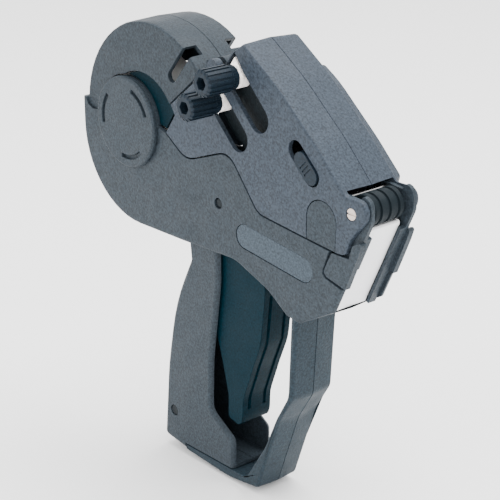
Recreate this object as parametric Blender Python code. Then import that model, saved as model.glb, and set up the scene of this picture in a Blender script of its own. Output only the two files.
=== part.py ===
"""Hand-held price labeling gun, built as an assembly of separate pieces.

+X points out of the nose, +Z up and the clamshell halves part on a plane across Y. Profiles are written in
millimetres in the gun's own side view (x, z), and y is counted from the parting plane; the builders turn them
into metres. The origin lies under the middle of the gun's box, on the surface it stands on.
"""

import math

import bmesh
import bpy
from mathutils import Matrix, Vector

MM = 0.001
PARTING_Y = 6.5         # the parting plane, off the middle because the knobs stand out on one side
STAND = (0.34, -0.30)    # puts the origin under the middle of the box, on the surface it stands on
SIDE = 17.0             # half width of the body
GRIP_SIDE = 13.25       # half width of the handle and the guard
WALL = 2.4
SEAM = 0.15             # half of the gap between the clamshell halves
JOINT_GAP = 0.2         # half of the gap between covers that meet edge to edge
CROWN = 0.6             # how far the rim rises from the side face to the parting plane
EDGE = 1.4              # rounding of the outer edges
SEAM_NICK = 0.25        # how far a seam's edges are broken
SAGITTA = 0.09          # how far a chord may leave its arc
BEYOND = 1.0            # how far a cutter reaches past what it cuts

ROLL_CENTRE = (-65.2, 176.2)
ROLL_RADIUS = 32.2
CORE_RADIUS = 13.0
SPINDLE_RADIUS = 11.0
WEB_HALF = 10.0
PAPER = 0.4
DISC_RADIUS = 23.6
COVER_CENTRE = (-48.2, 178.0)
COVER_RADIUS = 52.4
SHIELD_CENTRE = (-54.3, 177.0)
SHIELD_RADIUS = 26.6
COVER_HINGE = (-1.5, 216.0)
HINGE_PIN_RADIUS = 1.6
TRIGGER_PIVOT = (4.3, 150.4)
TRIGGER_HALF = 9.4
DRIVE_PIN = (12.0, 206.0)
PIVOT_RADIUS = 2.5
NOSE = (94.3, 168.8)
AXLE_RADIUS = 1.5
ROLLER_RADIUS = 7.6
PEEL = (98.2, 159.9)
WEB_FOOT = (77.9, 115.6)
GUIDE_ROLLER = (6.0, 160.6)
GUIDE_RADIUS = 2.0
FEED_WHEEL = (72.2, 131.4)
FEED_RADIUS = 11.1
INK_ROLLER = (73.0, 174.0)
INK_RADIUS = 5.5
UPPER_KNOB = (16.5, 215.5)
LOWER_KNOB = (4.0, 201.5)
SLIDE_ANGLE = math.radians(-45)
SLOT_WIDTH = 13.2
UPPER_SLOT = 24.0
LOWER_SLOT = 21.5
KNOB_RADIUS = 6.6
KNOB_BACK = 18.6
KNOB_FRONT = 37.0
TIE_BAR = (86.1, 173.3)     # joins the gate's two arms above the nose roller
HANDLE_SCREW = (-37.2, 23.0)
PANEL_START = (23.5, 138.6)
PANEL_END = (64.3, 133.8)
PANEL_WIDTH = 12.0
LATCH_TOP = (58.4, 189.8)
LATCH_FOOT = (69.0, 179.8)
LATCH_WIDTH = 8.4
LATCH_REST = (62.4, 186.0)
WINDOW_FOOT = (-29.6, 206.4)
WINDOW_TOP = (-17.2, 221.8)
NOSE_TAB = [(66.1, 149.9, 0), (66.1, 170.2, 9.5), (85.5, 170.2, 9.5), (84.6, 148.3, 0)]


# ---- outlines -------------------------------------------------------------------------------------------

def arc_steps(radius, turn):
    """How many chords an arc needs for its chords to stay within SAGITTA."""
    step = 2 * math.acos(max(0.5, 1 - SAGITTA / max(radius, 0.3)))
    return max(1, math.ceil(abs(turn) / step - 1e-4))


def filleted(corners, distances=None):
    """Points of a closed outline with rounded corners (x, z, radius), its edges moved in by distances."""
    count = len(corners)
    distances = distances or [0.0] * count
    moved = inset(corners, distances)
    area = signed_area(corners)
    points = []
    for i in range(count):
        here = Vector(moved[i][:2])
        back = (Vector(moved[i - 1][:2]) - here).normalized()
        ahead = (Vector(moved[(i + 1) % count][:2]) - here).normalized()
        radius = corners[i][2]
        if radius <= 0:
            points.append(tuple(here))
            continue
        angle = back.angle(ahead)
        turn = math.pi - angle
        convex = (back.cross(ahead) < 0) == (area > 0)
        shrink = (distances[i - 1] + distances[i]) / 2
        used = max(radius - shrink, 0.15) if convex else radius + shrink
        reach = used / math.tan(angle / 2)
        centre = here + (back + ahead).normalized() * used / math.sin(angle / 2)
        start = here + back * reach - centre
        steps = arc_steps(radius, turn)
        sense = -1 if back.cross(ahead) > 0 else 1
        for k in range(steps + 1):
            swing = sense * turn * k / steps
            points.append((centre.x + start.x * math.cos(swing) - start.y * math.sin(swing),
                           centre.y + start.x * math.sin(swing) + start.y * math.cos(swing)))
    return points


def signed_area(corners):
    return sum(a[0] * b[1] - b[0] * a[1] for a, b in zip(corners, corners[1:] + corners[:1])) / 2


def inset(corners, distances):
    """Corners moved so that edge i, from corner i to corner i + 1, lies distances[i] further in."""
    sense = 1 if signed_area(corners) > 0 else -1
    count = len(corners)
    lines = []
    for i in range(count):
        start, end = Vector(corners[i][:2]), Vector(corners[(i + 1) % count][:2])
        along = (end - start).normalized()
        inward = Vector((-along.y, along.x)) * sense
        lines.append((start + inward * distances[i], along))
    moved = []
    for i in range(count):
        (first, along_a), (second, along_b) = lines[i - 1], lines[i]
        cross = along_a.cross(along_b)
        if abs(cross) < 0.01:
            point = second
        else:
            point = first + along_a * ((second - first).cross(along_b) / cross)
        moved.append((point.x, point.y, corners[i][2]))
    return moved


def cavity(corners, open_edges=()):
    """The hollow behind a wall: every edge moves in by the wall, and an open edge moves out instead."""
    distances = [-BEYOND if i in open_edges else WALL for i in range(len(corners))]
    return filleted(corners, distances)


def gapped(corners, seams):
    """The outline with half of the joint's gap taken off along the edges that meet a neighbour."""
    return inset(corners, [JOINT_GAP if i in seams else 0.0 for i in range(len(corners))])


def circle(centre, radius, start=0.0, turn=2 * math.pi):
    """Points along an arc; a whole circle doesn't repeat its first point."""
    steps = arc_steps(radius, turn)
    whole = abs(abs(turn) - 2 * math.pi) < 1e-6
    return [(centre[0] + radius * math.cos(start + turn * k / steps),
             centre[1] + radius * math.sin(start + turn * k / steps)) for k in range(steps + (not whole))]


def capsule(start, end, width):
    """A slot's outline: two half circles joined by straight sides."""
    angle = math.atan2(end[1] - start[1], end[0] - start[0])
    return (circle(end, width / 2, angle - math.pi / 2, math.pi)
            + circle(start, width / 2, angle + math.pi / 2, math.pi))


def along_slide(point, distance):
    """The point moved down the print head's slots."""
    return (point[0] + distance * math.cos(SLIDE_ANGLE), point[1] + distance * math.sin(SLIDE_ANGLE))


# ---- solids ---------------------------------------------------------------------------------------------

def material(name, colour, roughness, metallic=0.0):
    found = bpy.data.materials.new(name)
    found.use_nodes = True
    shader = found.node_tree.nodes["Principled BSDF"]
    shader.inputs["Base Color"].default_value = (*colour, 1.0)
    shader.inputs["Roughness"].default_value = roughness
    shader.inputs["Metallic"].default_value = metallic
    return found


def pivot(name, point, parent=None, y=0.0):
    """An empty on a body's joint axis; everything on the body hangs from it."""
    empty = bpy.data.objects.new(name, None)
    bpy.context.scene.collection.objects.link(empty)
    empty.parent = parent
    here = Vector((point[0] * MM, y * MM, point[1] * MM))
    empty.location = here - (Vector(parent["from_parting"]) if parent else Vector())
    empty["from_parting"] = tuple(here) if parent else (0.0, 0.0, 0.0)
    return empty


def place(name, shape, finish, body, collection, mirrored=False):
    """Turns a bmesh written in the gun's own place into an object hanging from its body's empty.

    A mirrored one is written for the far side and shown on the near side."""
    bmesh.ops.recalc_face_normals(shape, faces=shape.faces)
    mesh = bpy.data.meshes.new(name)
    shape.to_mesh(mesh)
    shape.free()
    mesh.materials.append(finish)
    mesh.shade_smooth()
    mesh.set_sharp_from_angle(angle=math.radians(35))
    thing = bpy.data.objects.new(name, mesh)
    collection.objects.link(thing)
    thing.parent = body
    thing.location = -Vector(body["from_parting"])
    thing.scale.y = -1 if mirrored else 1
    return thing


def lofted(sections):
    """A closed bmesh through outlines with equal counts; sections are (y, points)."""
    shape = bmesh.new()
    rings = [[shape.verts.new((x * MM, y * MM, z * MM)) for x, z in points] for y, points in sections]
    for lower, upper in zip(rings, rings[1:]):
        for i in range(len(lower)):
            j = (i + 1) % len(lower)
            shape.faces.new((lower[i], lower[j], upper[j], upper[i]))
    shape.faces.new(rings[0])
    shape.faces.new(rings[-1])
    return shape


def rounded_plate(corners, outer, inner, seams=(), edge=EDGE, crown=CROWN, steps=2):
    """A slab with a rounded edge at y outer, its rim rising by crown towards y inner; seams stay square."""
    side = 1 if outer > inner else -1
    sections = []
    for k in range(steps + 1):
        lean = math.pi / 2 * k / steps
        down = edge * (1 - math.cos(lean))
        lift = crown * (1 - down / abs(outer - inner)) + edge * (1 - math.sin(lean))
        nick = SEAM_NICK * (1 - math.sin(lean))
        distances = [nick if i in seams else lift for i in range(len(corners))]
        sections.append((outer - side * down, filleted(corners, distances)))
    sections.append((inner, filleted(corners)))
    return lofted(sections)


def prism(points, y0, y1, holes=()):
    """A flat outline, with holes, made solid between two planes across Y."""
    outline = bpy.data.curves.new("outline", "CURVE")
    outline.dimensions = "2D"
    outline.fill_mode = "BOTH"
    outline.extrude = abs(y1 - y0) / 2 * MM
    for loop in (points, *holes):
        spline = outline.splines.new("POLY")
        spline.points.add(len(loop) - 1)
        for point, (x, z) in zip(spline.points, loop):
            point.co = (x * MM, z * MM, 0.0, 1.0)
        spline.use_cyclic_u = True
    carrier = bpy.data.objects.new("outline", outline)
    bpy.context.scene.collection.objects.link(carrier)
    graph = bpy.context.evaluated_depsgraph_get()
    mesh = bpy.data.meshes.new_from_object(carrier.evaluated_get(graph))
    shape = bmesh.new()
    shape.from_mesh(mesh)
    bmesh.ops.remove_doubles(shape, verts=shape.verts, dist=1e-6)
    upright = Matrix.Translation((0, (y0 + y1) / 2 * MM, 0)) @ Matrix.Rotation(math.radians(90), 4, "X")
    bmesh.ops.transform(shape, matrix=upright, verts=shape.verts)
    bpy.data.objects.remove(carrier)
    bpy.data.meshes.remove(mesh)
    return shape


def turned(profile, centre, steps=28):
    """A solid of revolution about the Y line through centre, from a profile of (radius, y) points.

    A profile that starts and ends on the axis makes a solid piece; any other is closed into a ring."""
    shape = bmesh.new()
    points = [shape.verts.new(((centre[0] + radius) * MM, y * MM, centre[1] * MM)) for radius, y in profile]
    edges = [shape.edges.new(pair) for pair in zip(points, points[1:])]
    if profile[0][0] > 0:
        edges.append(shape.edges.new((points[-1], points[0])))
    bmesh.ops.spin(shape, geom=points + edges, cent=(centre[0] * MM, 0, centre[1] * MM), axis=(0, 1, 0),
                   angle=2 * math.pi, steps=steps)
    bmesh.ops.remove_doubles(shape, verts=shape.verts, dist=1e-6)
    return shape


def pin(centre, radius, y0, y1, steps=20):
    return turned([(0, y0), (radius, y0), (radius, y1), (0, y1)], centre, steps)


def ring(centre, inner, outer, y0, y1, steps=28):
    return turned([(inner, y0), (outer, y0), (outer, y1), (inner, y1)], centre, steps)


class Workshop:
    """Puts pieces and cutters in their collections and joins or cuts them with Booleans."""

    def __init__(self, name):
        self.parts = bpy.data.collections.new(name)
        self.cutters = bpy.data.collections.new("cutters")
        self.cutters.hide_render = True
        for collection in (self.parts, self.cutters):
            bpy.context.scene.collection.children.link(collection)

    def piece(self, name, shape, finish, body, mirrored=False):
        return place(name, shape, finish, body, self.parts, mirrored)

    def operate(self, thing, shapes, operation):
        for shape in shapes:
            label = f"{thing.name}_{operation.lower()}_{len(thing.modifiers)}"
            cutter = place(label, shape, thing.data.materials[0], thing.parent, self.cutters,
                           thing.scale.y < 0)
            cutter.hide_render = True
            cutter.display_type = "WIRE"
            modifier = thing.modifiers.new(label, "BOOLEAN")
            modifier.operation = operation
            modifier.solver = "EXACT"
            modifier.use_hole_tolerant = True
            modifier.object = cutter

    def cut(self, thing, *shapes):
        self.operate(thing, shapes, "DIFFERENCE")

    def join(self, thing, *shapes):
        self.operate(thing, shapes, "UNION")

    def clean(self):
        """Draws together the points that Booleans leave a hair apart."""
        for thing in self.parts.objects:
            if thing.modifiers:
                weld = thing.modifiers.new("clean", "WELD")
                weld.merge_threshold = 1e-5


# ---- profiles, as (x, z, corner radius) -----------------------------------------------------------------

SEAM_LINE = [(-35.6, 176.9, 0), (-19.9, 166.5, 12), (12.0, 178.0, 10), (33.0, 152.8, 9), (81.5, 148.1, 0)]
DISC_ARC = [(x, z, 0) for x, z in circle(ROLL_CENTRE, DISC_RADIUS, math.radians(166.5),
                                         math.radians(-160.7))]
FRAME = [(-105.0, 181.7, 0), *DISC_ARC, *SEAM_LINE, (76.9, 136.4, 1.5), (78.4, 134.6, 1), (90.6, 131.4, 0),
         (84.3, 117.8, 0), (68.0, 108.8, 0), (61.5, 105.2, 3), (52.6, 106.6, 0), (40.0, 115.2, 20),
         (16.0, 124.0, 20), (-24.0, 122.6, 0), (-105.0, 121.5, 46)]
FRAME_SEAMS = range(len(DISC_ARC) + 8)
FRAME_OPEN = range(len(DISC_ARC) + 10)
HANDLE = [(-23.5, 134.0, 0), (-21.6, 116.5, 5), (-36.6, 85.8, 110), (-43.4, 48.9, 150), (-47.0, 5.2, 4),
          (-28.4, 2.6, 0), (-28.4, 6.8, 0), (10.8, 6.8, 1), (10.8, 24.0, 5), (-6.8, 34.5, 6),
          (-6.2, 62.0, 100), (-0.2, 105.0, 50), (-0.2, 134.0, 0)]
HANDLE_SEAMS = (0, 5, 6, 12)
HANDLE_OPEN = (7, 8, 9, 10, 11, 12)
GUARD = [(57.2, 105.5, 0), (54.5, 62.0, 8), (44.4, 45.8, 25), (29.4, 3.0, 4), (6.0, 0.0, 60),
         (-28.0, 2.4, 0), (-28.0, 6.4, 0), (18.6, 6.4, 5), (33.2, 29.5, 40), (41.5, 48.4, 25),
         (49.6, 62.6, 10), (51.4, 106.4, 0)]
HOOD = [SEAM_LINE[0], (-28.4, 187.3, 0), (-31.6, 192.2, 0), (-7.7, 211.6, 0), (3.6, 213.4, 2),
        (12.8, 226.4, 6), (22.5, 233.2, 3.5), (46.5, 217.2, 100), (73.0, 195.0, 100),
        (91.0, 176.9, 2), (104.4, 177.3, 6),
        (104.5, 168.0, 7), (94.6, 155.6, 10), (92.4, 148.1, 4), *reversed(SEAM_LINE[1:])]
HOOD_SEAMS = (0, 1, 2, 14, 15, 16, 17)
HOOD_OPEN = (*HOOD_SEAMS, 3, 9, 10, 11, 12, 13)
CHEEK = [(30.0, 223.2, 4), (46.3, 213.6, 60), (72.2, 191.8, 60), (88.0, 176.6, 4), (85.0, 167.0, 8),
         (60.0, 166.0, 20), (34.0, 192.0, 20)]
COVER_ARC = [(x, z, 0) for x, z in circle(COVER_CENTRE, COVER_RADIUS, math.radians(175.95),
                                          math.radians(-135.8))]
COVER = [*COVER_ARC, (-31.6, 192.2, 0), (-45.0, 181.7, 0)]
COVER_SEAMS = range(len(COVER_ARC) - 1, len(COVER_ARC) + 2)
GATE_LINK = [(83.4, 170.6, 2), (84.4, 176.2, 2), (92.0, 175.4, 1), (97.3, 174.9, 1), (98.8, 177.7, 1.5),
             (104.2, 177.0, 5), (104.3, 166.5, 7), (93.4, 142.8, 1), (86.3, 142.8, 1), (90.3, 163.0, 4),
             (88.6, 168.6, 3)]
GATE_CHEEK = [(82.4, 147.4, 1), (77.5, 137.0, 2), (79.6, 135.0, 1), (91.6, 132.2, 0), (99.4, 150.6, 0),
              (101.6, 157.0, 1), (98.7, 156.2, 1), (95.4, 154.2, 0), (93.4, 147.4, 0)]
HEAD = [(-1.2, 195.4, 1), (28.0, 169.5, 0), (57.4, 172.9, 0.5), (58.6, 174.0, 0.5), (47.2, 185.2, 1),
        (50.0, 189.5, 2), (45.6, 199.0, 3), (21.0, 220.6, 2), (12.6, 220.6, 3), (4.6, 209.0, 3),
        (-3.6, 201.0, 3)]
UPPER_FRONT = (50.4, 176.6)
LOWER_FRONT = (36.0, 174.6)
HALF_SPACE = [(-150.0, -40.0), (150.0, -40.0), (150.0, 280.0), (-150.0, 280.0)]
BELT_RADIUS = 5.0
BELT_CORE = 3.7
SHAFT_RADIUS = 2.0


def offset_line(points, distance):
    """An open polyline moved sideways."""
    moved = []
    for i, point in enumerate(points):
        before = Vector(points[max(i - 1, 0)])
        after = Vector(points[min(i + 1, len(points) - 1)])
        along_a = (Vector(point) - before).normalized() if i else (after - before).normalized()
        along_b = (after - Vector(point)).normalized() if i < len(points) - 1 else along_a
        normal = Vector((-(along_a + along_b).y, (along_a + along_b).x)).normalized()
        across = normal.dot(Vector((-along_a.y, along_a.x)))
        moved.append(tuple(Vector(point) + normal * distance / across))
    return moved


def strip(points, thickness, shift=0.0):
    """The closed outline of a sheet of this thickness that follows points."""
    return (offset_line(points, shift + thickness / 2)
            + offset_line(points, shift - thickness / 2)[::-1])


def web_path():
    """The paper's way from the roll over the guide roller and the platen, round the peel edge and down."""
    leave = math.radians(-70)
    reach = ROLL_RADIUS + 0.6
    start = (ROLL_CENTRE[0] + reach * math.cos(leave), ROLL_CENTRE[1] + reach * math.sin(leave))
    over = (GUIDE_ROLLER[0], GUIDE_ROLLER[1] + GUIDE_RADIUS + 0.6)
    turn = circle((PEEL[0] - 1.1, PEEL[1]), 1.1, math.radians(98), math.radians(-122))
    return [start, over, (over[0] + 4, over[1] - 0.7), (43.0, 154.8), *turn, WEB_FOOT]


def toothed(centre, inner, outer, teeth, duty=0.5):
    """The outline of a wheel with square teeth."""
    points = []
    for k in range(teeth):
        for part, radius in ((0, inner), (0, outer), (duty, outer), (duty, inner)):
            angle = 2 * math.pi * (k + part) / teeth
            points.append((centre[0] + radius * math.cos(angle), centre[1] + radius * math.sin(angle)))
    return points


# ---- the shells -----------------------------------------------------------------------------------------

def frame_half(shop, near, finish, body):
    """The lower body and the handle, one moulding for each side."""
    name = "frame_near" if near else "frame_far"
    outline = gapped(FRAME, FRAME_SEAMS)
    half = shop.piece(name, rounded_plate(outline, SIDE, -1.0, FRAME_SEAMS), finish, body, near)
    grip = rounded_plate(HANDLE, GRIP_SIDE, -1.6, HANDLE_SEAMS, edge=2.4, crown=0.9, steps=3)
    shop.join(half, grip)
    shop.cut(half, prism(cavity(outline, FRAME_OPEN), SIDE - WALL, -2.0))
    shop.cut(half, prism(cavity(HANDLE, HANDLE_OPEN), GRIP_SIDE - WALL, -2.4))
    mouth = [(-14.0, 112.0), (57.0, 100.0), (49.5, 119.5), (16.0, 129.0), (-14.0, 129.0)]
    shop.cut(half, prism(mouth, GRIP_SIDE - WALL, -2.7))
    shop.cut(half, prism(HALF_SPACE, SEAM, -6.0))
    shop.cut(half, pin(TRIGGER_PIVOT, PIVOT_RADIUS + 0.3, SIDE - 4, SIDE + BEYOND))
    shop.cut(half, pin(HANDLE_SCREW, 3.0, GRIP_SIDE - 1.5, GRIP_SIDE + BEYOND))
    notch = [(-102.6, 183.5), (-100.2, 178.0), (-96.0, 176.2), (-91.0, 177.0), (-88.0, 183.5)]
    shop.cut(half, prism(notch, SIDE - 1.4, SIDE + BEYOND))
    if near:
        shop.cut(half, prism(capsule(PANEL_START, PANEL_END, PANEL_WIDTH + 0.5), SIDE - 1.2, SIDE + BEYOND))


def hood_half(shop, near, finish, body):
    """The top cover over the print head; only the near one has the selector slots and the latch."""
    name = "hood_near" if near else "hood_far"
    outline = gapped(HOOD, HOOD_SEAMS)
    plate = rounded_plate(outline, SIDE, SEAM, (*HOOD_SEAMS, 13), edge=1.6, crown=0.9)
    half = shop.piece(name, plate, finish, body, near)
    if not near:
        bulge = [(y, filleted(CHEEK, [draft] * len(CHEEK))) for y, draft in (
            (9.0, 0.6), (17.0, 0.2), (22.8, 1.8), (24.0, 4.0))]
        shop.join(half, lofted(bulge))
    shop.cut(half, prism(cavity(outline, HOOD_OPEN), SIDE - WALL, -BEYOND))
    if not near:
        shop.cut(half, prism(filleted(CHEEK, [3.6] * len(CHEEK)), 13.0, 21.4))
    lug = [(4.4, 208.3), *circle(COVER_HINGE, 4.0, math.radians(-20), math.radians(205)), (-5.4, 208.3)]
    shop.join(half, prism(lug, 11.3, 15.2))
    shop.cut(half, pin(COVER_HINGE, HINGE_PIN_RADIUS + 0.2, 8, 14))
    inside, outside = SIDE - WALL - BEYOND, (SIDE + BEYOND)
    shop.cut(half, pin(NOSE, AXLE_RADIUS + 0.2, inside, outside), pin(NOSE, 3.1, SIDE - 1.4, outside))
    if near:
        for start, travel in ((UPPER_KNOB, UPPER_SLOT), (LOWER_KNOB, LOWER_SLOT)):
            shop.cut(half, prism(capsule(start, along_slide(start, travel), SLOT_WIDTH), inside, outside))
        shop.cut(half, prism([(9.6, 219.2), (16.4, 227.4), (22.6, 219.0)], inside, outside))
        shop.cut(half, prism(capsule(LATCH_TOP, LATCH_FOOT, LATCH_WIDTH + 1.2), inside, outside))
        shop.cut(half, prism(filleted(inset(NOSE_TAB, [-0.3] * len(NOSE_TAB))), inside, outside))


def cover_half(shop, near, finish, body):
    """The hinged cover over the label roll, with its window and its hinge lug."""
    name = "roll_cover_near" if near else "roll_cover_far"
    outline = gapped(COVER, COVER_SEAMS)
    half = shop.piece(name, rounded_plate(outline, SIDE, SEAM, COVER_SEAMS), finish, body, near)
    lug = [(-19.0, 214.0), (-12.0, 207.2), *circle(COVER_HINGE, 4.2, math.radians(-75), math.radians(190))]
    shop.join(half, prism(lug, 9.0, 0.3))
    shop.cut(half, prism(cavity(outline, COVER_SEAMS), SIDE - WALL, -BEYOND))
    inside, outside = SIDE - WALL - BEYOND, (SIDE + BEYOND)
    shop.cut(half, pin(ROLL_CENTRE, DISC_RADIUS + 0.6, inside, outside, 48))
    shop.cut(half, pin(SHIELD_CENTRE, SHIELD_RADIUS + 0.4, inside, outside, 48))
    shop.cut(half, prism(capsule(WINDOW_FOOT, WINDOW_TOP, 6.2), 9.0, outside))
    shop.cut(half, pin(COVER_HINGE, HINGE_PIN_RADIUS + 0.15, 10.0, -BEYOND, 16))


def guard_half(shop, near, finish, body):
    """The strap in front of the trigger, which also closes the foot of the handle."""
    name = "guard_near" if near else "guard_far"
    shop.piece(name, rounded_plate(GUARD, GRIP_SIDE, SEAM, (5, 6, 11), crown=0.8), finish, body, near)


def hub_disc(shop, near, finish, body):
    """The round boss over the roll's spindle, with its three curved slots."""
    name = "hub_disc_near" if near else "hub_disc_far"
    y0, y1 = SIDE + 0.2, (SIDE + 2.8)
    profile = [(0, y0), (DISC_RADIUS, y0), (DISC_RADIUS, y1 - 0.9), (DISC_RADIUS - 0.9, y1), (0, y1)]
    disc = shop.piece(name, turned(profile, ROLL_CENTRE, 48), finish, body, near)
    for k in range(3):
        start = math.radians(20 + 120 * k)
        outer = circle(ROLL_CENTRE, 19.2, start, math.radians(52))
        inner = circle(ROLL_CENTRE, 17.0, start + math.radians(52), math.radians(-52))
        shop.cut(disc, prism(outer + inner, y0 + 0.8, y1 + BEYOND))


def crescent_shield(shop, near, finish, body):
    """The dark guard behind the cover's round cut-out, beside the hub disc."""
    name = "crescent_shield_near" if near else "crescent_shield_far"
    sweep = circle(SHIELD_CENTRE, SHIELD_RADIUS - 0.2, math.radians(24.5), math.radians(130))
    outline = [*sweep, (-60.0, 180.8), (-37.6, 179.0), (-36.6, 178.5)]
    shield = shop.piece(name, prism(outline, SIDE - 1.6, SIDE - 4.2), finish, body, near)
    shop.cut(shield, pin(ROLL_CENTRE, DISC_RADIUS + 0.5, SIDE - 8, SIDE + BEYOND, 48))


# ---- the label roll and the paper's way -----------------------------------------------------------------

def label_reel(shop, stock, root, reel):
    """The roll on its core, turning on the spindle, and the web that leaves it."""
    y = WEB_HALF
    shop.piece("label_core", ring(ROLL_CENTRE, SPINDLE_RADIUS + 0.3, CORE_RADIUS, -y - 0.2, y + 0.2),
               stock["board"], reel)
    shop.piece("label_roll", ring(ROLL_CENTRE, CORE_RADIUS + 0.2, ROLL_RADIUS, -y, y, 56),
               stock["paper"], reel)
    spindle = shop.piece("roll_spindle", pin(ROLL_CENTRE, SPINDLE_RADIUS, -14.4, 14.4, 28),
                         stock["dark"], root)
    shop.cut(spindle, pin(ROLL_CENTRE, SPINDLE_RADIUS - 2, -16, 12.4, 28))
    shop.piece("label_web", prism(strip(web_path(), PAPER), -y, y), stock["paper"], root)
    shop.piece("web_guide_roller", pin(GUIDE_ROLLER, GUIDE_RADIUS, -14.4, 11.1), stock["dark"], root)


def paper_path(shop, stock, root, feed):
    """What the web slides over below the type and round the nose, and the sprocket that pulls it."""
    start, end = web_path()[3:5]
    along = (Vector(end) - Vector(start)).normalized()
    bed = [tuple(Vector(start) + along * step) for step in (1.0, 31.0)]
    shop.piece("platen", prism(strip(bed, 1.6, -1.3), -14.4, 14.4), stock["dark"], root)
    plate = [tuple(Vector(start) + along * step) for step in (32.0, 53.0)]
    shop.piece("peel_plate", prism(strip(plate, 1.0, -1.0), -11.9, 11.9), stock["steel"], root)
    fall = (Vector(WEB_FOOT) - Vector(PEEL)).normalized()
    front = [tuple(Vector(PEEL) + fall * step) for step in (5.0, 46.0)]
    guide = shop.piece("front_plate", prism(strip(front, 1.6, -1.4), -11.9, 11.9), stock["dark"], root)
    shop.cut(guide, pin(FEED_WHEEL, FEED_RADIUS + 1.9, -5.0, 5.0, 28))
    bore = circle(FEED_WHEEL, AXLE_RADIUS + 0.2)
    shop.piece("feed_wheel", prism(toothed(FEED_WHEEL, 9.3, FEED_RADIUS, 14, 0.4), -4.0, 4.0, [bore]),
               stock["dark"], feed)
    shop.piece("ratchet_wheel", prism(toothed(FEED_WHEEL, 5.6, 7.2, 12, 0.5), -9.0, -6.6, [bore]),
               stock["steel"], feed)
    shop.piece("feed_axle", pin(FEED_WHEEL, AXLE_RADIUS, -14.4, 14.4), stock["steel"], feed)
    pawl = [(54.0, 118.5), (60.0, 122.0), (65.3, 127.2)]
    shop.piece("feed_pawl", prism(strip(pawl, 1.0), -9.0, -6.6), stock["steel"], root)


# ---- the print head -------------------------------------------------------------------------------------

def print_head(shop, stock, head):
    """The carrier with its two type belts, the selector's pointers and the pin that the lever drives."""
    frame = shop.piece("print_head_frame", prism(filleted(HEAD), -11.0, 11.0), stock["cream"], head)
    for name, knob, front in (("upper", UPPER_KNOB, UPPER_FRONT), ("lower", LOWER_KNOB, LOWER_FRONT)):
        loop = capsule(knob, front, 2 * BELT_RADIUS)
        shop.piece("type_belt_" + name, prism(loop, -7.5, 7.5, [capsule(knob, front, 2 * BELT_CORE)]),
                   stock["belt"], head)
        pocket = capsule(knob, front, 2 * BELT_RADIUS + 0.8)
        shop.cut(frame, prism(pocket, -8.0, 8.0, [capsule(knob, front, 2 * BELT_CORE - 0.6)]))
        shop.cut(frame, pin(knob, SHAFT_RADIUS + 0.3, -12.0, 12.0))
    shop.piece("drive_pin", pin(DRIVE_PIN, 1.5, 11.2, 13.8), stock["steel"], head)
    for name, knob, tip in (("upper", UPPER_KNOB, (-0.4, 9.0)), ("lower", LOWER_KNOB, (-4.4, 4.4))):
        collar = shop.piece("pointer_" + name, ring(knob, SHAFT_RADIUS + 0.3, 5.7, -18.2, -11.3),
                            stock["cream"], head)
        point = Vector(tip)
        across = Vector((-point.y, point.x)).normalized() * 4.4
        base = Vector(knob) + point.normalized() * 3.4
        wedge = [tuple(base + across), tuple(base - across), (knob[0] + tip[0], knob[1] + tip[1])]
        shop.join(collar, prism(wedge, -16.4, -13.2))


def selector(shop, stock, name, centre, body, knob_body):
    """A shaft through the print head and the ribbed knob on its end."""
    shop.piece("selector_shaft_" + name, pin(centre, SHAFT_RADIUS, -18.3, 10.6), stock["steel"], body)
    sections = [(y, toothed(centre, valley, crest, 16)) for y, valley, crest in (
        (-KNOB_FRONT, 5.0, 5.2), (-36.2, 6.0, KNOB_RADIUS), (-22.4, 6.0, KNOB_RADIUS), (-21.8, 5.8, 5.9),
        (-KNOB_BACK, 5.8, 5.9))]
    knob = shop.piece("knob_" + name, lofted(sections), stock["knob"], knob_body)
    key = [(centre[0] + 3.3 * math.cos(math.radians(a)), centre[1] + 3.3 * math.sin(math.radians(a)))
           for a in range(0, 360, 60)]
    shop.cut(knob, prism(key, -KNOB_FRONT - BEYOND, -KNOB_FRONT + 6))


def ink_set(shop, stock, root, roller):
    """The ink roller on its axle, in the holder that snaps into the hood."""
    shop.piece("ink_roller", ring(INK_ROLLER, AXLE_RADIUS + 0.3, INK_RADIUS, -9.4, 9.4),
               stock["ink"], roller)
    shop.piece("ink_roller_axle", pin(INK_ROLLER, AXLE_RADIUS, -12.4, 12.4), stock["steel"], root)
    bridge = (INK_ROLLER[0] + 5, INK_ROLLER[1] + 7)
    holder = shop.piece("ink_holder", pin(bridge, 2.3, -11.9, 11.9), stock["dark"], root)
    for side in (-1, 1):
        shop.join(holder, prism(capsule(INK_ROLLER, bridge, 5.0), side * 9.8, side * 11.9))
    shop.cut(holder, pin(INK_ROLLER, AXLE_RADIUS + 0.2, -13.0, 13.0))


# ---- the trigger ----------------------------------------------------------------------------------------

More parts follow.
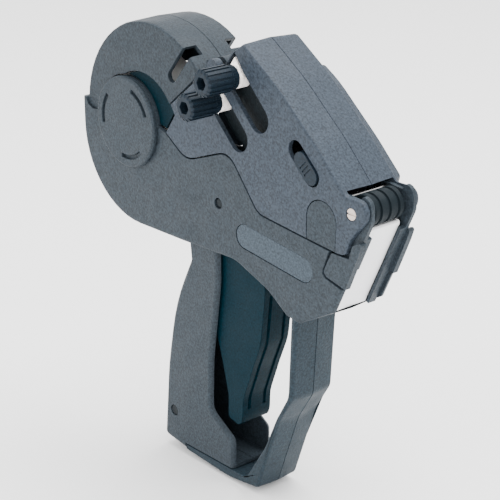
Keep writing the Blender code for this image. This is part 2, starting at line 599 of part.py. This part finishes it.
def trigger_set(shop, stock, root, swing):
    """The trigger, its pivot and return spring, and the lever that carries the print head down."""
    top = [(x, z, 0) for x, z in circle(TRIGGER_PIVOT, 6.0, math.radians(-20), math.radians(220))]
    front = [(13.2, 36.0, 10), (13.4, 46.0, 20), (20.5, 65.5, 30), (26.4, 80.0, 30), (28.6, 98.0, 30),
             (30.0, 112.0, 10)]
    rear = [(-2.5, 130.0, 10), (-5.5, 100.0, 20), (-7.5, 80.0, 20), (-2.0, 62.0, 20), (2.4, 45.0, 10),
            (2.2, 33.0, 2), (11.0, 30.6, 3)]
    half = TRIGGER_HALF
    trigger = shop.piece("trigger", prism(filleted([*top, *rear, *front]), -half, half),
                         stock["trigger"], swing)
    hollow = [(-15.0, 134.0, 0), (-15.0, 46.0, 0), (8.0, 46.0, 4), (15.6, 67.0, 20), (21.4, 81.0, 20),
              (23.4, 98.0, 20), (24.4, 112.0, 10), (17.0, 130.0, 5), (12.0, 134.0, 2)]
    shop.cut(trigger, prism(filleted(hollow), 2.2 - half, half - 2.2))
    shop.cut(trigger, pin(TRIGGER_PIVOT, PIVOT_RADIUS + 0.2, -half - BEYOND, half + BEYOND))
    grip = [(13.4, 40.0), (13.6, 46.0), (20.6, 65.4), (26.5, 80.0), (28.7, 98.0), (29.6, 107.0)]
    for side in (-1, 1):
        shop.cut(trigger, prism(strip(grip, 2.0), side * 4.0, side * 6.0))
    shop.piece("trigger_pivot_pin", pin(TRIGGER_PIVOT, PIVOT_RADIUS, -16.3, 16.3), stock["steel"], root)
    coil = shop.piece("trigger_spring", ring(TRIGGER_PIVOT, PIVOT_RADIUS + 0.4, 4.3, 9.8, 11.0),
                      stock["steel"], swing)
    for foot in ((-14.0, 152.0), (-3.4, 126.0)):
        away = (Vector(foot) - Vector(TRIGGER_PIVOT)).normalized()
        side = Vector((away.y, -away.x)) * 3.5
        leg = [tuple(Vector(TRIGGER_PIVOT) + side), tuple(Vector(foot) + side)]
        shop.join(coil, prism(strip(leg, 1.0), 9.9, 10.9))
    tilt = math.atan2(DRIVE_PIN[0] - TRIGGER_PIVOT[0], DRIVE_PIN[1] - TRIGGER_PIVOT[1])

    def reach(length):
        return (TRIGGER_PIVOT[0] + length * math.sin(tilt), TRIGGER_PIVOT[1] + length * math.cos(tilt))

    lever = shop.piece("drive_lever", prism(capsule(TRIGGER_PIVOT, reach(60), 11.0), 11.4, 13.4,
                                            [circle(TRIGGER_PIVOT, PIVOT_RADIUS + 0.2)]),
                       stock["steel"], swing)
    shop.cut(lever, prism(capsule(reach(47.2), reach(56.0), 5.0), 11.0, 14.0))


# ---- the nose -------------------------------------------------------------------------------------------

def nose_roller(shop, stock, root, roller):
    """The roller that presses the label on, its axle and the screws at the axle's ends."""
    groove = ROLLER_RADIUS - 0.9
    profile = [(AXLE_RADIUS + 0.3, -9.2), (ROLLER_RADIUS - 0.5, -9.2), (ROLLER_RADIUS, -8.7)]
    for y in (-5.6, 0.0, 5.6):
        profile += [(ROLLER_RADIUS, y - 0.9), (groove, y - 0.7), (groove, y + 0.7), (ROLLER_RADIUS, y + 0.9)]
    profile += [(ROLLER_RADIUS, 8.7), (ROLLER_RADIUS - 0.5, 9.2), (AXLE_RADIUS + 0.3, 9.2)]
    shop.piece("applicator_roller", turned(profile, NOSE, 32), stock["rubber"], roller)
    shop.piece("roller_axle", pin(NOSE, AXLE_RADIUS, -15.3, 15.3), stock["steel"], root)
    for name, side in (("near", -1), ("far", 1)):
        screw = shop.piece("nose_screw_" + name, pin(NOSE, 2.8, side * 15.8, side * 16.8),
                           stock["screw"], root)
        slot = [(NOSE[0] + x, NOSE[1] + z) for x, z in ((-3.2, -0.4), (3.2, -0.4), (3.2, 0.4), (-3.2, 0.4))]
        shop.cut(screw, prism(slot, side * 16.3, side * 17.5))


def gate_arm(shop, name, side, foot, finish, body):
    """One arm of the gate: its link on the roller's axle, its thumb tab and the lip over the web."""
    link = prism(filleted(GATE_LINK), side * 14.3, side * 12.2)
    arm = shop.piece(name, link, finish, body)
    fall = (Vector(WEB_FOOT) - Vector(PEEL)).normalized()
    lip = [tuple(Vector(PEEL) + fall * step) for step in (1.5, 20.0)]
    shop.join(arm, prism(strip(lip, 1.8, 1.9), side * 9.2, side * 14.0))
    shop.join(arm, prism(filleted(GATE_CHEEK), side * 16.9, side * 13.7))
    if foot:
        low = [tuple(Vector(PEEL) + fall * step) for step in (18.0, foot)]
        shop.join(arm, prism(strip(low, 1.7, 1.9), side * 9.4, side * 14.1))
    shop.cut(arm, pin(NOSE, AXLE_RADIUS + 0.25, side * 11.0, side * 17.5))
    shop.cut(arm, pin(TIE_BAR, 1.5, side * 11.0, side * 13.3))
    return arm


# ---- small outer pieces ---------------------------------------------------------------------------------

def outer_pieces(shop, stock, root, latch):
    panel = capsule(PANEL_START, PANEL_END, PANEL_WIDTH)
    shop.piece("name_panel", prism(panel, -SIDE + 0.3, -SIDE + 1.0), stock["panel"], root)
    shop.piece("nose_tab", prism(filleted(NOSE_TAB), -SIDE + 0.1, -SIDE + 2.3), stock["shell"], root)
    for name, side in (("near", -1), ("far", 1)):
        screw = pin(HANDLE_SCREW, 2.7, side * (GRIP_SIDE - 1.3), side * (GRIP_SIDE - 0.4))
        shop.piece("handle_screw_" + name, screw, stock["screw"], root)
    button = shop.piece("latch_button", prism(capsule(LATCH_REST, (68.8, 180.0), LATCH_WIDTH), -17.8, -13.6),
                        stock["latch"], latch)
    middle = along_slide(LATCH_REST, 4.4)
    for step in (-2.0, 0.0, 2.0):
        rib = (middle[0] + step * 0.73, middle[1] - step * 0.69)
        ends = [(rib[0] - 1.9, rib[1] - 1.9), (rib[0] + 1.9, rib[1] + 1.9)]
        shop.cut(button, prism(strip(ends, 0.7), -17.4, -18.8))
    shop.piece("cover_hinge_pin", pin(COVER_HINGE, HINGE_PIN_RADIUS, -13.6, 13.6), stock["steel"], root)


def finishes():
    return {
        "shell": material("shell plastic", (0.10, 0.135, 0.165), 0.42),
        "cover": material("cover plastic", (0.12, 0.16, 0.20), 0.40),
        "grip": material("guard plastic", (0.075, 0.11, 0.135), 0.45),
        "trigger": material("trigger plastic", (0.006, 0.036, 0.052), 0.40),
        "shield": material("shield plastic", (0.005, 0.026, 0.037), 0.40),
        "knob": material("knob plastic", (0.018, 0.036, 0.050), 0.38),
        "dark": material("inner plastic", (0.010, 0.014, 0.017), 0.5),
        "cream": material("cream plastic", (0.42, 0.39, 0.36), 0.45),
        "belt": material("type rubber", (0.02, 0.02, 0.022), 0.6),
        "rubber": material("roller rubber", (0.007, 0.013, 0.017), 0.55),
        "ink": material("inked foam", (0.008, 0.008, 0.02), 0.75),
        "paper": material("label paper", (0.86, 0.86, 0.87), 0.6),
        "board": material("core board", (0.45, 0.33, 0.22), 0.8),
        "panel": material("panel foil", (0.14, 0.18, 0.21), 0.35),
        "latch": material("latch plastic", (0.09, 0.125, 0.155), 0.42),
        "steel": material("steel", (0.55, 0.56, 0.57), 0.32, 1.0),
        "screw": material("plated screw", (0.50, 0.46, 0.43), 0.35, 1.0),
    }


def main():
    for thing in list(bpy.data.objects):
        bpy.data.objects.remove(thing, do_unlink=True)
    stock = finishes()
    shop = Workshop("price_labeling_gun")
    root = pivot("gun_body", STAND, y=PARTING_Y)
    cover = pivot("roll_cover", COVER_HINGE, root)
    reel = pivot("label_reel", ROLL_CENTRE, root)
    swing = pivot("trigger_swing", TRIGGER_PIVOT, root)
    head = pivot("print_head", DRIVE_PIN, root)
    feed = pivot("feed_drive", FEED_WHEEL, root)
    upper = pivot("upper_selector", UPPER_KNOB, root)
    lower = pivot("lower_selector", LOWER_KNOB, root)
    ink = pivot("ink_turn", INK_ROLLER, root)
    roller = pivot("applicator_turn", NOSE, root)
    gate = pivot("web_gate", NOSE, root)
    latch = pivot("latch_slide", LATCH_REST, root)

    for near in (True, False):
        frame_half(shop, near, stock["shell"], root)
        hood_half(shop, near, stock["shell"], root)
        cover_half(shop, near, stock["cover"], cover)
        guard_half(shop, near, stock["grip"], root)
        hub_disc(shop, near, stock["shell"], root)
        crescent_shield(shop, near, stock["shield"], root)
    label_reel(shop, stock, root, reel)
    paper_path(shop, stock, root, feed)
    print_head(shop, stock, head)
    selector(shop, stock, "upper", UPPER_KNOB, upper, upper)
    selector(shop, stock, "lower", LOWER_KNOB, lower, lower)
    ink_set(shop, stock, root, ink)
    trigger_set(shop, stock, root, swing)
    nose_roller(shop, stock, root, roller)
    gate_arm(shop, "gate_near_arm", -1, 0.0, stock["shell"], gate)
    gate_arm(shop, "gate_far_arm", 1, 48.0, stock["shell"], gate)
    shop.piece("gate_tie_bar", pin(TIE_BAR, 1.2, -13.0, 13.0), stock["steel"], gate)
    outer_pieces(shop, stock, root, latch)
    shop.clean()
    bpy.context.view_layer.update()


main()
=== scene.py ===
"""Looks of a price labeling gun: a material and softened edges for every piece, a studio and a camera."""

import math

import bmesh
import bpy
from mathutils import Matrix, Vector


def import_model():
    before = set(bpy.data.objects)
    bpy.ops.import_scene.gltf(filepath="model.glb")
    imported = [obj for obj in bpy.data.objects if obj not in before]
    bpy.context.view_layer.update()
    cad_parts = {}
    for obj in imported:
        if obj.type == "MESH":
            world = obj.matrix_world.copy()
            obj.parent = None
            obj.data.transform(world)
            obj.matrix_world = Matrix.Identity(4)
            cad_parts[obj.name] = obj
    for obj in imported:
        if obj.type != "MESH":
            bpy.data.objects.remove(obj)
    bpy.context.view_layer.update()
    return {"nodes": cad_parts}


MM = 0.001
SIDE_VIEW = Vector((0.34, 6.5, -0.30))      # origin of the gun's own side view in the frame, in millimetres
ROLL_CENTRE = Vector((-65.2, 0.0, 176.2))   # of the label roll, in the side view

# The camera looks 21 degrees down at the nose and the near side, 49 degrees round from the side view.
CAMERA = Vector((0.55884, -0.4773, 0.4034))
TARGET = Vector((0.02784, -0.0105, 0.1328))
LENS = 114.9
SENSOR = 36.0

LIGHT_TARGET = Vector((0.0, 0.0, 0.12))
LIGHTS = (
    # name, place, side of the square, watts
    ("top light", Vector((0.1, 0.25, 1.5)), 1.2, 40.0),
    ("front light", Vector((1.2, -1.0, 0.9)), 0.9, 6.0),
    ("side light", Vector((-0.9, -1.3, 0.7)), 1.0, 7.0),
)
WORLD_WHITE = (1.0, 1.0, 1.0, 1.0)
WORLD_STRENGTH = 2.0
FLOOR_HALF = 6.0
FLOOR_DROP = 0.0004                         # keeps the floor clear of the gun's underside

# Noise scales, in cells per metre.
CLOUDS = 22.0
PATCHES = 90.0
GRAIN = 1000.0
NOISE_RANGE = (0.3, 0.7)                    # the values that noise mostly takes

# Depths of bumps, in metres.
ETCHED = 0.00025
SATIN = 0.00004
FILM = 0.00003

# How much light a surface mirrors, where 0.5 is clear plastic.
MATT_SHEEN = 0.13
RUBBER_SHEEN = 0.12
DEEP_SHEEN = 0.05

# Colour sockets of a Mix node.
MIX_A = 6
MIX_B = 7
MIX_RESULT = 2

WELD_WITHIN = 2e-6
FLAT_WITHIN = math.radians(0.6)
EDGE_ANGLE = math.radians(32)
THIN_EDGE = 0.12

# Widths of the softened edges in millimetres, by the start of a piece's name. Other pieces have THIN_EDGE.
SOFT_EDGES = {
    "frame": 0.45, "hood": 0.45, "roll_cover": 0.45, "guard": 0.4, "hub_disc": 0.35, "trigger": 0.7,
    "knob": 0.25, "latch": 0.5, "gate": 0.35, "nose_tab": 0.25, "pointer": 0.2, "print_head": 0.5,
}

# The pieces that each material dresses.
LOOKS = {
    "shell": ("frame_near", "frame_far", "hub_disc_near", "hub_disc_far", "gate_near_arm", "gate_far_arm",
              "nose_tab"),
    "top": ("hood_near", "hood_far"),
    "cover": ("roll_cover_near", "roll_cover_far"),
    "grip": ("guard_near", "guard_far"),
    "trigger": ("trigger",),
    "shield": ("crescent_shield_near", "crescent_shield_far"),
    "knob": ("knob_upper", "knob_lower", "latch_button"),
    "dark": ("roll_spindle", "web_guide_roller", "platen", "front_plate", "feed_wheel", "ink_holder",
             "print_head_frame", "trigger_pivot_pin", "handle_screw_near", "handle_screw_far"),
    "pale": ("pointer_upper", "pointer_lower"),
    "panel": ("name_panel",),
    "belt": ("type_belt_upper", "type_belt_lower"),
    "roller": ("applicator_roller",),
    "steel": ("peel_plate", "ratchet_wheel", "feed_axle", "feed_pawl", "drive_pin", "selector_shaft_upper",
              "selector_shaft_lower", "ink_roller_axle", "trigger_spring", "drive_lever", "roller_axle",
              "gate_tie_bar", "cover_hinge_pin"),
    "screw": ("nose_screw_near", "nose_screw_far"),
    "paper": ("label_web",),
    "wound": ("label_roll",),
    "board": ("label_core",),
    "foam": ("ink_roller",),
}


# ---- materials ------------------------------------------------------------------------------------------

def linear(colour):
    """An sRGB colour of 0 to 255 as linear values with an alpha of 1."""
    values = []
    for channel in colour:
        c = channel / 255
        values.append(c / 12.92 if c <= 0.04045 else ((c + 0.055) / 1.055) ** 2.4)
    return (*values, 1.0)


class Finish:
    """A Principled material and the nodes that vary its colour, gloss and surface."""

    def __init__(self, name, colour, roughness, metallic=0.0):
        self.material = bpy.data.materials.new(name)
        self.material.use_nodes = True
        self.nodes = self.material.node_tree.nodes
        self.links = self.material.node_tree.links
        self.shader = self.nodes["Principled BSDF"]
        self.colour = linear(colour)
        self.shader.inputs["Base Color"].default_value = self.colour
        self.shader.inputs["Roughness"].default_value = roughness
        self.shader.inputs["Metallic"].default_value = metallic
        self.place = self.nodes.new("ShaderNodeTexCoord").outputs["Object"]

    def mapped(self, setting, value):
        """Sends the place that the textures read through a Mapping node with one setting changed."""
        mapping = self.nodes.new("ShaderNodeMapping")
        mapping.inputs[setting].default_value = value
        self.links.new(self.place, mapping.inputs["Vector"])
        self.place = mapping.outputs["Vector"]

    def noise(self, scale, detail=3.0):
        node = self.nodes.new("ShaderNodeTexNoise")
        node.inputs["Scale"].default_value = scale
        node.inputs["Detail"].default_value = detail
        self.links.new(self.place, node.inputs["Vector"])
        return node.outputs["Fac"]

    def rings(self, scale, distortion):
        """Rings round the Y axis."""
        node = self.nodes.new("ShaderNodeTexWave")
        node.wave_type = "RINGS"
        node.rings_direction = "Y"
        node.inputs["Scale"].default_value = scale
        node.inputs["Distortion"].default_value = distortion
        self.links.new(self.place, node.inputs["Vector"])
        return node.outputs["Fac"]

    def ramp(self, source, low, high):
        node = self.nodes.new("ShaderNodeMapRange")
        node.inputs["From Min"].default_value = NOISE_RANGE[0]
        node.inputs["From Max"].default_value = NOISE_RANGE[1]
        node.inputs["To Min"].default_value = low
        node.inputs["To Max"].default_value = high
        self.links.new(source, node.inputs["Value"])
        return node.outputs["Result"]

    def sheen(self, level):
        self.shader.inputs["Specular IOR Level"].default_value = level

    def tint(self, source, other, strength):
        """Mixes the colour so far with another where source is high."""
        node = self.nodes.new("ShaderNodeMix")
        node.data_type = "RGBA"
        node.inputs[MIX_A].default_value = self.colour
        before = self.shader.inputs["Base Color"].links
        if before:
            self.links.new(before[0].from_socket, node.inputs[MIX_A])
        node.inputs[MIX_B].default_value = linear(other)
        self.links.new(self.ramp(source, 0.0, strength), node.inputs["Factor"])
        self.links.new(node.outputs[MIX_RESULT], self.shader.inputs["Base Color"])

    def gloss(self, source, low, high):
        """Roughness from low to high as source rises."""
        self.links.new(self.ramp(source, low, high), self.shader.inputs["Roughness"])

    def bump(self, source, depth, strength=1.0):
        node = self.nodes.new("ShaderNodeBump")
        node.inputs["Distance"].default_value = depth
        node.inputs["Strength"].default_value = strength
        self.links.new(source, node.inputs["Height"])
        self.links.new(node.outputs["Normal"], self.shader.inputs["Normal"])


def plastic(name, colour, worn, low, high, grain=ETCHED, sheen=MATT_SHEEN):
    """Moulded plastic: a speckled grain, uneven gloss and slow changes of shade."""
    speckle = [1.6 * channel + 6 for channel in colour]
    finish = Finish(name, colour, (low + high) / 2)
    finish.sheen(sheen)
    finish.tint(finish.noise(CLOUDS), worn, 0.55)
    finish.tint(finish.noise(GRAIN), speckle, 0.8)
    finish.gloss(finish.noise(PATCHES, 4.0), low, high)
    finish.bump(finish.noise(GRAIN), grain, 0.8)
    return finish.material


def rubber(name, colour):
    finish = Finish(name, colour, 0.6)
    finish.sheen(RUBBER_SHEEN)
    finish.gloss(finish.noise(300.0), 0.5, 0.75)
    finish.bump(finish.noise(1500.0), FILM, 0.7)
    return finish.material


def metal(name, colour, low, high, stretch=(1.0, 1.0, 1.0)):
    """Plated or rolled steel with fine marks, drawn out along an axis by a stretch below 1."""
    finish = Finish(name, colour, low, 1.0)
    finish.mapped("Scale", stretch)
    finish.gloss(finish.noise(500.0, 4.0), low, high)
    finish.bump(finish.noise(900.0, 2.0), 0.00001, 0.4)
    return finish.material


def wound_paper():
    """The wound side of the roll: fine rings round the spindle."""
    finish = Finish("wound paper", (240, 240, 238), 0.7)
    finish.mapped("Location", -(ROLL_CENTRE + SIDE_VIEW) * MM)
    rings = finish.rings(420.0, 0.6)
    finish.tint(rings, (205, 204, 200), 0.5)
    finish.bump(rings, SATIN, 0.5)
    return finish.material


def label_paper():
    finish = Finish("label paper", (244, 244, 246), 0.55)
    finish.tint(finish.noise(60.0), (232, 232, 236), 0.5)
    finish.bump(finish.noise(1800.0), 0.00001, 0.4)
    return finish.material


def core_board():
    finish = Finish("core board", (170, 140, 105), 0.85)
    finish.tint(finish.noise(400.0), (140, 112, 82), 0.7)
    finish.bump(finish.noise(900.0), SATIN)
    return finish.material


def inked_foam():
    finish = Finish("inked foam", (22, 20, 34), 0.85)
    finish.bump(finish.noise(2200.0, 4.0), 0.00015)
    return finish.material


def finishes():
    """Every material by the look's name: colour, worn colour, then the range of roughness."""
    return {
        "shell": plastic("grey shell plastic", (30, 36, 41), (35, 41, 46), 0.4, 0.55),
        "top": plastic("grey hood plastic", (35, 41, 48), (40, 46, 53), 0.38, 0.52),
        "cover": plastic("grey cover plastic", (28, 34, 39), (33, 39, 44), 0.38, 0.52),
        "grip": plastic("guard plastic", (22, 31, 37), (26, 35, 41), 0.4, 0.55),
        "trigger": plastic("teal trigger plastic", (0, 20, 27), (1, 24, 32), 0.42, 0.55, SATIN, DEEP_SHEEN),
        "shield": plastic("teal shield plastic", (1, 18, 24), (2, 22, 28), 0.42, 0.55, SATIN, DEEP_SHEEN),
        "knob": plastic("knob plastic", (14, 22, 29), (18, 26, 33), 0.35, 0.5, SATIN),
        "dark": plastic("black inner plastic", (12, 17, 20), (18, 24, 27), 0.45, 0.6),
        "pale": plastic("pale collar plastic", (208, 204, 200), (220, 216, 210), 0.34, 0.46),
        "panel": plastic("name panel film", (38, 46, 53), (42, 50, 57), 0.25, 0.35, FILM),
        "belt": rubber("type rubber", (34, 34, 36)),
        "roller": rubber("roller rubber", (14, 23, 28)),
        "steel": metal("rolled steel", (190, 190, 190), 0.22, 0.4, (1.0, 0.05, 1.0)),
        "screw": metal("plated screw", (196, 184, 176), 0.25, 0.42),
        "paper": label_paper(),
        "wound": wound_paper(),
        "board": core_board(),
        "foam": inked_foam(),
    }


# ---- the pieces -----------------------------------------------------------------------------------------

def dress(frame, stock):
    """Gives every CAD node its material and softens its edges."""
    for look, names in LOOKS.items():
        for name in names:
            thing = frame["nodes"][name]
            thing.data.materials.clear()
            thing.data.materials.append(stock[look])
            width = next((w for start, w in SOFT_EDGES.items() if name.startswith(start)), THIN_EDGE)
            soften(thing, width * MM)


def soften(thing, width):
    """Joins flat faces, bevels the sharp edges between them and shades the piece smooth."""
    weld = thing.modifiers.new("weld", "WELD")
    weld.merge_threshold = WELD_WITHIN
    flat = thing.modifiers.new("flat", "DECIMATE")
    flat.decimate_type = "DISSOLVE"
    flat.angle_limit = FLAT_WITHIN
    bevel = thing.modifiers.new("bevel", "BEVEL")
    bevel.width = width
    bevel.segments = 2
    bevel.limit_method = "ANGLE"
    bevel.angle_limit = EDGE_ANGLE
    bevel.use_clamp_overlap = True
    normals = thing.modifiers.new("normals", "WEIGHTED_NORMAL")
    normals.keep_sharp = True
    for face in thing.data.polygons:
        face.use_smooth = True


# ---- light, floor and camera ----------------------------------------------------------------------------

def placed(name, data, place):
    """A new object of the scene, standing at place."""
    thing = bpy.data.objects.new(name, data)
    bpy.context.scene.collection.objects.link(thing)
    thing.location = place
    return thing


def light_world():
    world = bpy.data.worlds.new("studio")
    world.use_nodes = True
    background = world.node_tree.nodes["Background"]
    background.inputs["Color"].default_value = WORLD_WHITE
    background.inputs["Strength"].default_value = WORLD_STRENGTH
    bpy.context.scene.world = world


def hang_light(name, place, side, power):
    light = bpy.data.lights.new(name, "AREA")
    light.shape = "SQUARE"
    light.size = side
    light.energy = power
    thing = placed(name, light, place)
    thing.rotation_euler = (LIGHT_TARGET - place).to_track_quat("-Z", "Y").to_euler()


def lay_floor():
    mesh = bpy.data.meshes.new("floor")
    shape = bmesh.new()
    bmesh.ops.create_grid(shape, x_segments=1, y_segments=1, size=FLOOR_HALF)
    shape.to_mesh(mesh)
    shape.free()
    mesh.materials.append(Finish("pale floor", (250, 250, 250), 0.8).material)
    floor = placed("floor", mesh, (0.0, 0.0, -FLOOR_DROP))


def place_camera():
    data = bpy.data.cameras.new("camera")
    data.lens = LENS
    data.sensor_width = SENSOR
    thing = placed("camera", data, CAMERA)
    thing.rotation_mode = "QUATERNION"
    thing.rotation_quaternion = (TARGET - CAMERA).to_track_quat("-Z", "Y")
    bpy.context.scene.camera = thing


def main():
    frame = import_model()
    dress(frame, finishes())
    light_world()
    for name, place, side, power in LIGHTS:
        hang_light(name, place, side, power)
    lay_floor()
    place_camera()


main()
